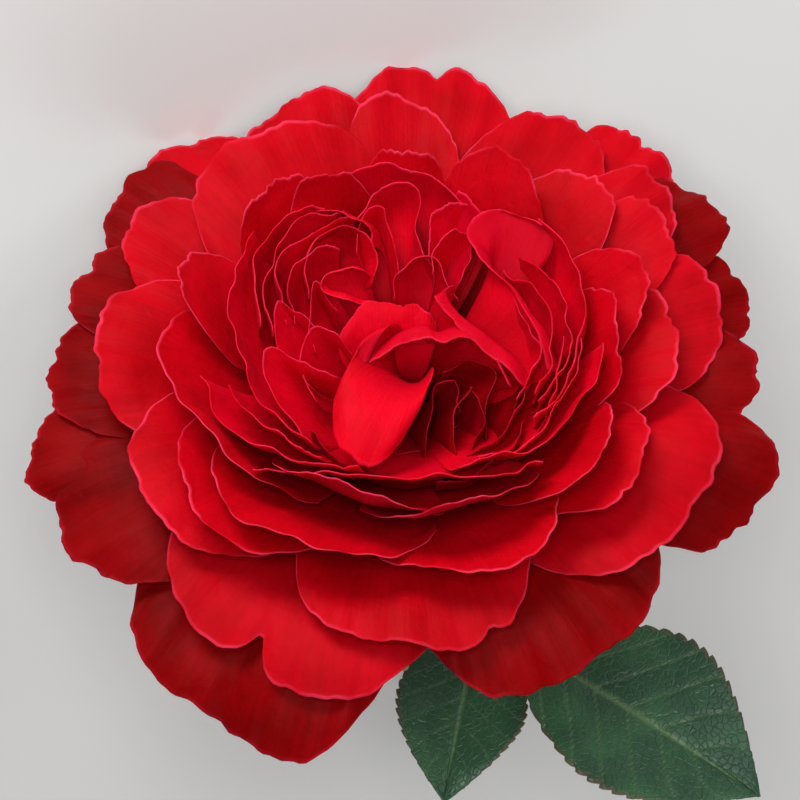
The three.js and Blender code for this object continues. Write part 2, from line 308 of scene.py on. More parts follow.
@dataclass(frozen=True)
class LeafSkin:
    """The finish of a leaf: dark waxy face with pale sunken veins, matt paler back."""

    name: str
    face: Colour
    shade: Colour
    vein: Colour
    back: Colour

    def material(self) -> bpy.types.Material:
        """Builds the node material."""
        s = NodeSketch(self.name)
        space = s.node("TexCoord").outputs["Object"]
        blotch = s.noise(space, 120.0, 4.0)
        cells = s.node("TexVoronoi", feature="DISTANCE_TO_EDGE", Scale=900.0)
        s.link(space, cells.inputs["Vector"])
        net = s.ramp(cells.outputs["Distance"], 0.0, 0.12)
        face = s.mix(s.ramp(blotch, 0.35, 0.7), self.shade, self.face)
        face = s.mix(s.math("MULTIPLY", s.attribute("vein"), 0.75), face, self.vein)
        skin = s.mix(s.attribute("back"), face, self.back)
        skin = s.mix(s.math("MULTIPLY", s.attribute("rim"), 0.5), skin, (0.16, 0.05, 0.03))
        relief = s.math("SUBTRACT", s.math("MULTIPLY", net, 0.4), s.attribute("vein"))
        return s.surface(skin, s.bump(relief, 0.5, 0.0004), Roughness=0.42, Subsurface_Weight=0.08,
                         Subsurface_Radius=(0.3, 0.7, 0.1), Subsurface_Scale=0.001)


FINISHES = {
    Slot.PETAL: PetalVelvet("petal_velvet", (0.47, 0.0, 0.006), (0.3, 0.0, 0.002), (0.36, 0.0, 0.01),
                            (0.75, 0.035, 0.09)),
    # Guard petals: a darker copy of the petal finish, painted shade on the outer ring; their scorched rims are real
    # weathering.
    Slot.GUARD: PetalVelvet("guard_velvet", (0.21, 0.0, 0.001), (0.1, 0.0, 0.0), (0.2, 0.0, 0.004),
                            (0.34, 0.004, 0.014), weathering=0.8),
    # Heart petals: a brighter copy of the petal finish, painted light on the heart.
    Slot.HEART: PetalVelvet("heart_velvet", (0.64, 0.0, 0.012), (0.4, 0.0, 0.004), (0.46, 0.0, 0.01),
                            (0.7, 0.016, 0.06)),
    # Hollow: a dark copy of the petal finish, painted shade for the petals deep in the hollow.
    Slot.HOLLOW: PetalVelvet("hollow_velvet", (0.24, 0.0, 0.002), (0.12, 0.0, 0.001), (0.2, 0.0, 0.004),
                             (0.4, 0.004, 0.02)),
    Slot.SEPAL: GreenSkin("sepal_green", (0.1, 0.2, 0.045), (0.2, 0.33, 0.1), (0.2, 0.06, 0.03),
                          flush_share=0.3, roughness=0.6),
    Slot.STEM: GreenSkin("stem_rind", (0.11, 0.2, 0.045), (0.19, 0.3, 0.08), (0.22, 0.05, 0.03)),
    Slot.PITH: GreenSkin("stem_pith", (0.42, 0.5, 0.24), (0.6, 0.62, 0.4), (0.3, 0.22, 0.1),
                         flush_share=0.3),
    Slot.PRICKLE: GreenSkin("prickle_horn", (0.28, 0.07, 0.03), (0.42, 0.16, 0.06), (0.25, 0.03, 0.02),
                            roughness=0.4),
    Slot.LEAF: LeafSkin("leaf_skin", (0.03, 0.12, 0.045), (0.015, 0.07, 0.03), (0.12, 0.22, 0.08),
                        (0.13, 0.22, 0.11)),
}


# ---- Meshes ----

def add_object(name: str, data: bpy.types.ID) -> bpy.types.Object:
    """Puts a mesh, light or camera into the scene, at the origin."""
    made = bpy.data.objects.new(name, data)
    bpy.context.collection.objects.link(made)
    return made


def smoothstep(low: float, high: float, value: np.ndarray) -> np.ndarray:
    """Rises smoothly from 0 at low to 1 at high."""
    t = np.clip((value - low) / (high - low), 0.0, 1.0)
    return t * t * (3.0 - 2.0 * t)


def through(points: list[Point], t: np.ndarray) -> np.ndarray:
    """A smooth curve through given points.

    Args:
        points: two or more points.
        t: where to read the curve, from 0 at the first point to 1 at the last.

    Returns:
        An array of shape (*t.shape, 3).
    """
    knots = np.array(points, dtype=float)
    knots = np.vstack([2 * knots[0] - knots[1], knots, 2 * knots[-1] - knots[-2]])
    spans = len(points) - 1
    at = np.clip(t * spans, 0.0, spans)
    i = np.minimum(at.astype(int), spans - 1)
    f = (at - i)[..., None]
    a, b, c, d = (knots[i + k] for k in range(4))
    return 0.5 * (2 * b + (c - a) * f + (2 * a - 5 * b + 4 * c - d) * f**2 + (3 * (b - c) + d - a) * f**3)


def surface_normals(grid: np.ndarray) -> np.ndarray:
    """Unit normals of a grid of points, on the side where the grid's face is."""
    along = np.gradient(grid, axis=0)
    across = np.gradient(grid, axis=1)
    normals = np.cross(along, across)
    return normals / np.maximum(np.linalg.norm(normals, axis=2, keepdims=True), 1e-9)


@dataclass
class Sheet:
    """A thin closed sheet around a grid of points in the bloom's frame: rows run along it."""

    name: str
    grid: np.ndarray
    thickness: np.ndarray
    slot: Slot
    marks: dict[str, np.ndarray] = field(default_factory=dict)

    def build(self) -> bpy.types.Object:
        """Makes the mesh with its UV map and marks, in the part's frame.

        Returns:
            The finished object, at the origin, with its material.
        """
        rows, columns = self.grid.shape[:2]
        offset = surface_normals(self.grid) * self.thickness[..., None] / 2
        face = (self.grid + offset).reshape(-1, 3)
        back = (self.grid - offset).reshape(-1, 3)
        index = np.arange(rows * columns).reshape(rows, columns)
        a, b, c, d = index[:-1, :-1], index[:-1, 1:], index[1:, 1:], index[1:, :-1]
        top = np.stack([a, d, c, b], -1).reshape(-1, 4)
        under = np.stack([a, b, c, d], -1).reshape(-1, 4) + rows * columns
        border = np.concatenate([index[0, :-1], index[:-1, -1], index[-1, :0:-1], index[:0:-1, 0]])
        following = np.roll(border, -1)
        wall = np.stack([border, following, following + rows * columns, border + rows * columns], -1)
        quads = np.concatenate([top, under, wall])
        mesh = bpy.data.meshes.new(self.name)
        mesh.from_pydata(BLOOM.place(np.vstack([face, back])).tolist(), [], quads.tolist())
        mesh.shade_smooth()
        self._map(mesh, rows, columns)
        marks = {"back": np.concatenate([np.zeros(rows * columns), np.ones(rows * columns)])}
        marks |= {name: np.tile(values.reshape(-1), 2) for name, values in self.marks.items()}
        for name, values in marks.items():
            mesh.attributes.new(name, "FLOAT", "POINT").data.foreach_set("value", values.astype(np.float32))
        piece = add_object(f"{self.name}_fine", mesh)
        mesh.materials.append(material_of(self.slot))
        return piece

    def _map(self, mesh: bpy.types.Mesh, rows: int, columns: int) -> None:
        """Gives the mesh a UV map: across the sheet, then along it."""
        u, v = np.meshgrid(np.linspace(0, 1, columns), np.linspace(0, 1, rows))
        vertex_uv = np.tile(np.stack([u, v], -1).reshape(-1, 2), (2, 1))
        loops = np.empty(len(mesh.loops), dtype=int)
        mesh.loops.foreach_get("vertex_index", loops)
        mesh.uv_layers.new(name="across_along").data.foreach_set("uv", vertex_uv[loops].reshape(-1))


_materials: dict[Slot, bpy.types.Material] = {}


def material_of(slot: Slot) -> bpy.types.Material:
    """The one material of a slot, made when it is first asked for."""
    if slot not in _materials:
        _materials[slot] = FINISHES[slot].material()
    return _materials[slot]


def hand_over(piece: bpy.types.Object, slot: Slot, *nodes: str) -> None:
    """Rides a piece on the flower and lets it stand for its CAD nodes."""
    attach(piece, "root")
    if nodes:
        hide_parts(*nodes)
    log.info("%s: %d faces", piece.name, len(piece.data.polygons))


# ---- Petals ----

RIM_CROWDING = 1.35  # draws the rows of a petal's mesh together towards its rim


def petal_grid(rows: int, columns: int) -> tuple[Grid, Grid]:
    """The share along a petal, 0 to 1, and across it, -1 to 1, at each point of its mesh."""
    u = 1.0 - (1.0 - np.linspace(0, 1, rows)) ** RIM_CROWDING
    u, v = np.meshgrid(u, np.linspace(-1, 1, columns), indexing="ij")
    return u, v


def petal_marks(u: Grid, v: Grid, rim_from: float) -> dict[str, Grid]:
    """Marks the rim, where a highlight is painted, from rim_from on, and how far along the petal each point is,
    which the painted shade towards the base follows.
    """
    sides = np.abs(v) ** 14 * smoothstep(0.5, 0.9, u)
    return {"rim": np.maximum(smoothstep(rim_from, 1.0, u), 0.6 * sides), "along": u}


@dataclass(frozen=True)
class Cup:
    """The nested cups that the ring petals lie on, and the receptacle they grow from."""

    radius: float = 26.0
    crown: float = 36.7
    claw_radius: float = 3.9
    claw_height: float = 9.0
    step_out: float = 0.26
    step_down: float = 0.42
    fall: float = 1.04
    fall_less_far: float = 0.26
    fall_onset: float = 10.0
    rise: float = 42.0
    rise_loss: float = 0.62
    arrival: float = 84.0
    recurve: float = 120.0
    recurve_less_far: float = 20.0
    recurve_span: float = 18.0
    handle: float = 0.4

    def rim_height(self, radius: np.ndarray, angle: np.ndarray) -> np.ndarray:
        """Height of a cup's rim: level inside, falling outwards, and less so at the far side."""
        beyond = np.maximum(0.0, radius - self.radius)
        return self.crown - (self.fall - self.fall_less_far * np.sin(angle)) * beyond**2 / (beyond + self.fall_onset)

    def profile(self, radius: Grid, angle: Grid, layer: int, t: Grid) -> tuple[Grid, Grid]:
        """A point on the curve from claw to rim.

        Args:
            radius: the cup's radius at the rim, in millimetres.
            angle: the direction from the axis, in radians.
            layer: how many petals stand in front.
            t: 0 at the claw and 1 at the rim.

        Returns:
            The distance from the axis and the height.
        """
        claw = (self.claw_radius + self.step_out * layer, self.claw_height - self.step_down * layer)
        height = self.rim_height(radius, angle)
        beyond = radius - self.radius
        rise = np.radians(self.rise - self.rise_loss * beyond)
        bent = 1.0 - np.exp(-((np.maximum(0.0, beyond) / self.recurve_span) ** 1.6))
        recurve = (self.recurve - self.recurve_less_far * np.sin(angle)) * bent
        arrival = np.radians(self.arrival - recurve)
        handle = self.handle * np.hypot(radius - claw[0], height - claw[1])
        weights = ((1 - t) ** 3, 3 * (1 - t) ** 2 * t, 3 * (1 - t) * t**2, t**3)
        outs = (claw[0], claw[0] + handle * np.cos(rise), radius - handle * np.cos(arrival), radius)
        ups = (claw[1], claw[1] + handle * np.sin(rise), height - handle * np.sin(arrival), height)
        return sum(w * p for w, p in zip(weights, outs)), sum(w * p for w, p in zip(weights, ups))


CUP = Cup()


SETTLED = (16.0, 50.0)  # the bend grows from nothing to full between these distances from the axis


def settle(points: np.ndarray) -> np.ndarray:
    """Bends the whole bloom a little, so that no ring of it stays perfectly round."""
    x, y, z = points[..., 0], points[..., 1], points[..., 2]
    reach = np.hypot(x, y)
    share = smoothstep(*SETTLED, reach)
    angle = np.arctan2(y, x)
    lift = (0.9 * np.sin(5 * angle + 0.09 * reach + 0.6) + 0.7 * np.sin(8 * angle - 0.12 * reach + 2.0)
            + 0.4 * np.sin(13 * angle + 0.2 * z))
    out = 0.7 * np.sin(7 * angle + 0.1 * z + 1.0) + 0.4 * np.sin(11 * angle + 2.6)
    moved = points.copy()
    moved[..., 2] += share * lift
    moved[..., 0] += share * out * np.cos(angle)
    moved[..., 1] += share * out * np.sin(angle)
    return moved


@dataclass(frozen=True)
class Cleft:
    """A notch in a petal's rim: where it is across the petal, how deep and how wide, as shares."""

    at: float
    depth: float
    width: float = 0.06


@dataclass
class PetalEdge:
    """The small ruffles, folds and nicks of one petal, fixed by its seed."""

    seed: int
    ruffle: float
    folds: float = 0.6
    nicks: int = 5
    waves: tuple[float, ...] = (26.0, 12.0, 5.6)

    def __post_init__(self) -> None:
        """Draws the petal's own phases and nicks."""
        rng = np.random.default_rng(SEED + self.seed)
        self.phases = rng.uniform(0, 2 * np.pi, 9)
        self.sizes = rng.uniform(0.5, 1.0, 9)
        self.nick_at = rng.uniform(-0.85, 0.85, self.nicks)
        self.nick_depth = rng.uniform(0.003, 0.012, self.nicks)
        self.nick_width = rng.uniform(0.03, 0.07, self.nicks)

    def outline(self, v: np.ndarray) -> np.ndarray:
        """How much the rim falls short at v, as a share of the petal's length."""
        short = 0.012 * np.sin(5 * v + self.phases[0]) + 0.005 * np.sin(15 * v + self.phases[1])
        short = short + 0.0022 * np.sin(41 * v + self.phases[7]) + 0.0016 * np.sin(58 * v + self.phases[8])
        for at, depth, width in zip(self.nick_at, self.nick_depth, self.nick_width):
            short = short + depth * np.exp(-(((v - at) / width) ** 2))
        return short

    def relief(self, t: np.ndarray, v: np.ndarray, width: float) -> np.ndarray:
        """Height of the petal's own ripples over its smooth surface.

        Args:
            t: 0 at the claw and 1 at the rim.
            v: -1 to 1 across the petal.
            width: the petal's width at its rim, in millimetres.

        Returns:
            Millimetres along the normal.
        """
        near_rim = smoothstep(0.72, 1.0, t)
        waves = np.zeros_like(v)
        for k, length in enumerate(self.waves):
            turns = np.pi * width / length
            waves = waves + self.sizes[k] * np.sin(turns * v + self.phases[k + 2]) / (1.0 + 0.8 * k)
        soft = np.zeros_like(v)
        for k, count in enumerate((3.1, 5.3)):
            soft = soft + self.sizes[k + 4] * np.sin(count * v + self.phases[k + 5] + 1.2 * t) / (k + 1)
        return self.ruffle * near_rim * waves + self.folds * smoothstep(0.25, 0.9, t) * soft


@dataclass
class RingPetal:
    """A petal on one of the nested cups; angles in degrees, lengths in millimetres."""

    azimuth: float
    spread: float
    reach: float
    lean: float = 0.0
    extent: float = 1.0
    ruffle: float = 0.5
    roll: float = 0.4
    drop: float = 0.33
    clefts: tuple[Cleft, ...] = ()
    name: str = ""
    slot: Slot = Slot.PETAL
    # whether this guard petal wears the brighter petal finish instead of the guard's, as painted light
    painted_lit: bool = False
    layer: int = -1
    rows: int = 44
    columns: int = 64
    thickness: float = 0.26
    thinning: float = 0.13

    def in_front_of(self, other: "RingPetal") -> bool:
        """Whether this petal is nearer to the axis in the middle of the arc that both share."""
        apart = (other.azimuth - self.azimuth + 180.0) % 360.0 - 180.0
        if abs(apart) > self.spread + other.spread:
            return False
        shared = (max(-self.spread, apart - other.spread) + min(self.spread, apart + other.spread)) / 2
        own = self.reach + self.lean * shared / self.spread
        return own < other.reach + other.lean * (shared - apart) / other.spread

    def set_layer(self, petals: list["RingPetal"]) -> int:
        """Sets this petal's layer to one more than the highest among those in front of it."""
        if self.layer < 0:
            fronts = [p for p in petals if p is not self and p.in_front_of(self)]
            self.layer = max((p.set_layer(petals) for p in fronts), default=-1) + 1
        return self.layer

    def build(self, seed: int) -> bpy.types.Object:
        """Makes the petal's mesh."""
        edge = PetalEdge(seed, self.ruffle)
        u, v = petal_grid(self.rows, self.columns)
        short = self.drop * np.abs(v) ** 3 + edge.outline(v)
        for cleft in self.clefts:
            short = short + cleft.depth * np.exp(-np.abs((v - cleft.at) / cleft.width) ** 1.3)
        t = u * self.extent * (1.0 - short)
        angle = np.radians(self.azimuth + self.spread * v)
        out, up = CUP.profile(self.reach + self.lean * v, angle, self.layer, t)
        grid = np.stack([out * np.cos(angle), out * np.sin(angle), up], -1)
        width = 2 * math.radians(self.spread) * self.reach
        relief = edge.relief(u, v, width) - self.roll * smoothstep(0.86, 1.0, u) ** 2
        grid = settle(grid + surface_normals(grid) * relief[..., None])
        thickness = self.thickness - self.thinning * smoothstep(0.5, 1.0, u)
        # Guard petals marked this way take the brighter petal finish: painted light where they face the light.
        finish = Slot.PETAL if self.painted_lit else self.slot
        return Sheet(self.name, grid, thickness, finish, petal_marks(u, v, 0.98)).build()


RING_PETALS = {
    "guard": [
        RingPetal(174, 16, 55.0, 0.8, 0.97),
        RingPetal(188, 13, 56.8, 0, 0.97),
        RingPetal(205, 22, 53.0, -1),
        RingPetal(240, 29, 56.5, 0.5, ruffle=1.0),
        RingPetal(301, 33, 50.4, 1.9),
        RingPetal(345, 20, 55.5, 0.3, 0.99, ruffle=1.0),
        RingPetal(6, 15, 53.0),
        RingPetal(22, 15, 60.5, 0, 0.93),
        RingPetal(37, 14, 58.5),
        RingPetal(51, 14, 62.0, 0, 0.97, painted_lit=True),
        RingPetal(84, 20, 59.0, 0, 0.99, clefts=(Cleft(0.0, 0.03, 0.12),), painted_lit=True),
        RingPetal(108, 17, 56.5, 0, 0.97, painted_lit=True),
        RingPetal(127, 14, 60.0, 0, 0.97, painted_lit=True),
        RingPetal(138, 17, 57.5, 0, 0.98),
        RingPetal(157, 16, 53.0, 0, 0.99),
    ],
    "outer": [
        RingPetal(243, 37, 49.0, 2.5, clefts=(Cleft(0.0, 0.12, 0.05),)),
        RingPetal(62, 17, 55.0),
        RingPetal(336, 32, 47.3),
        RingPetal(274, 34, 44.2, -0.2, 0.98, clefts=(Cleft(0.41, 0.05, 0.05),)),
        RingPetal(210, 30, 42.2, 0.5),
        RingPetal(174, 26, 45.5, -2),
        RingPetal(17, 20, 50.0),
        RingPetal(42, 15, 53.5, 0, 0.98),
        RingPetal(118, 27, 47.5),
        RingPetal(90, 16, 51.5, 0, 0.95),
        RingPetal(145, 16, 49.5, -0.5, 0.99),
    ],
    "middle": [
        RingPetal(8, 25, 41.0),
        RingPetal(33, 15, 46.5),
        RingPetal(196, 44, 33.2, -5),
        RingPetal(222, 33, 37.5),
        RingPetal(240, 42, 34.5, -1),
        RingPetal(292, 34, 36.6, 0.8, 0.98),
        RingPetal(332, 24, 39.0, 1, 0.98),
        RingPetal(328, 24, 33.0),
        RingPetal(48, 17, 42.5),
        RingPetal(20, 20, 37.5),
    ],
    "inner": [
        RingPetal(64, 20, 36.0),
        RingPetal(89, 15, 33.0),
        RingPetal(5, 25, 32.0),
        RingPetal(128, 20, 31.5),
        RingPetal(113, 17, 29.0),
        RingPetal(158, 18, 34.5, -4),
        RingPetal(252, 34, 26.2, 0.5),
        RingPetal(288, 33, 28.5, 1),
    ],
}


@dataclass
class HeartPetal:
    """A petal of the heart, from a claw up to a rim that runs through given points.

    The rim's points go counter-clockwise about the petal's own axis, in millimetres. Arrive is the
    direction in which the petal reaches its rim, and belly pushes its middle outwards.
    """

    name: str
    rim: list[Point]
    claw: Point
    arrive: Point = (0.0, 0.0, 1.0)
    belly: Point = (0.0, 0.0, 0.0)
    rise: float = 0.4
    reach: float = 0.35
    ruffle: float = 0.4
    roll: float = 0.3
    finish: Slot = Slot.HEART
    node: str = ""
    rows: int = 34
    columns: int = 40
    claw_half_width: float = 0.8
    thickness: float = 0.24
    thinning: float = 0.1

    def build(self, seed: int) -> bpy.types.Object:
        """Makes the petal's mesh."""
        edge = PetalEdge(seed, self.ruffle, folds=0.3, nicks=4, waves=(13.0, 7.0, 4.6))
        u, v = petal_grid(self.rows, self.columns)
        rim = through(self.rim, (v + 1) / 2)
        chord = np.subtract(self.rim[-1], self.rim[0]).astype(float)
        chord /= np.linalg.norm(chord)
        claw = np.array(self.claw) + self.claw_half_width * chord * v[..., None]
        span = np.linalg.norm(rim - claw, axis=2, keepdims=True)
        arrive = np.array(self.arrive) / np.linalg.norm(self.arrive)
        belly = np.array(self.belly, dtype=float)
        first = claw + self.rise * span * np.array([0.0, 0.0, 1.0]) + belly * 0.6
        last = rim - self.reach * span * arrive + belly
        t = (u * (1.0 - edge.outline(v)))[..., None]
        grid = (1 - t) ** 3 * claw + 3 * (1 - t) ** 2 * t * first + 3 * (1 - t) * t**2 * last + t**3 * rim
        width = float(np.linalg.norm(np.diff(rim[-1], axis=0), axis=1).sum())
        relief = edge.relief(u, v, width) - self.roll * smoothstep(0.88, 1.0, u) ** 2
        grid = grid + surface_normals(grid) * relief[..., None]
        thickness = self.thickness - self.thinning * smoothstep(0.5, 1.0, u)
        return Sheet(self.name, grid, thickness, self.finish, petal_marks(u, v, 0.975)).build()


@dataclass(frozen=True)
class Bloom:
    """The bloom: rings of petals on nested cups round a quartered heart."""

    guard_ruffle: float = 0.35

    def build(self) -> None:
        """Makes every petal."""
        seed = 0
        for ring, petals in RING_PETALS.items():
            for number, petal in enumerate(petals, start=1):
                petal.name = f"{ring}_petal_{number:02d}"
                petal.slot = Slot.GUARD if ring == "guard" else Slot.PETAL
                petal.ruffle += self.guard_ruffle if ring == "guard" else 0.0
        everyone = [petal for petals in RING_PETALS.values() for petal in petals]
        for petal in everyone:
            petal.set_layer(everyone)
            hand_over(petal.build(seed := seed + 1), petal.slot, petal.name)
        for petal in HEART_PETALS:
            hand_over(petal.build(seed := seed + 1), Slot.HEART, *filter(None, [petal.node]))


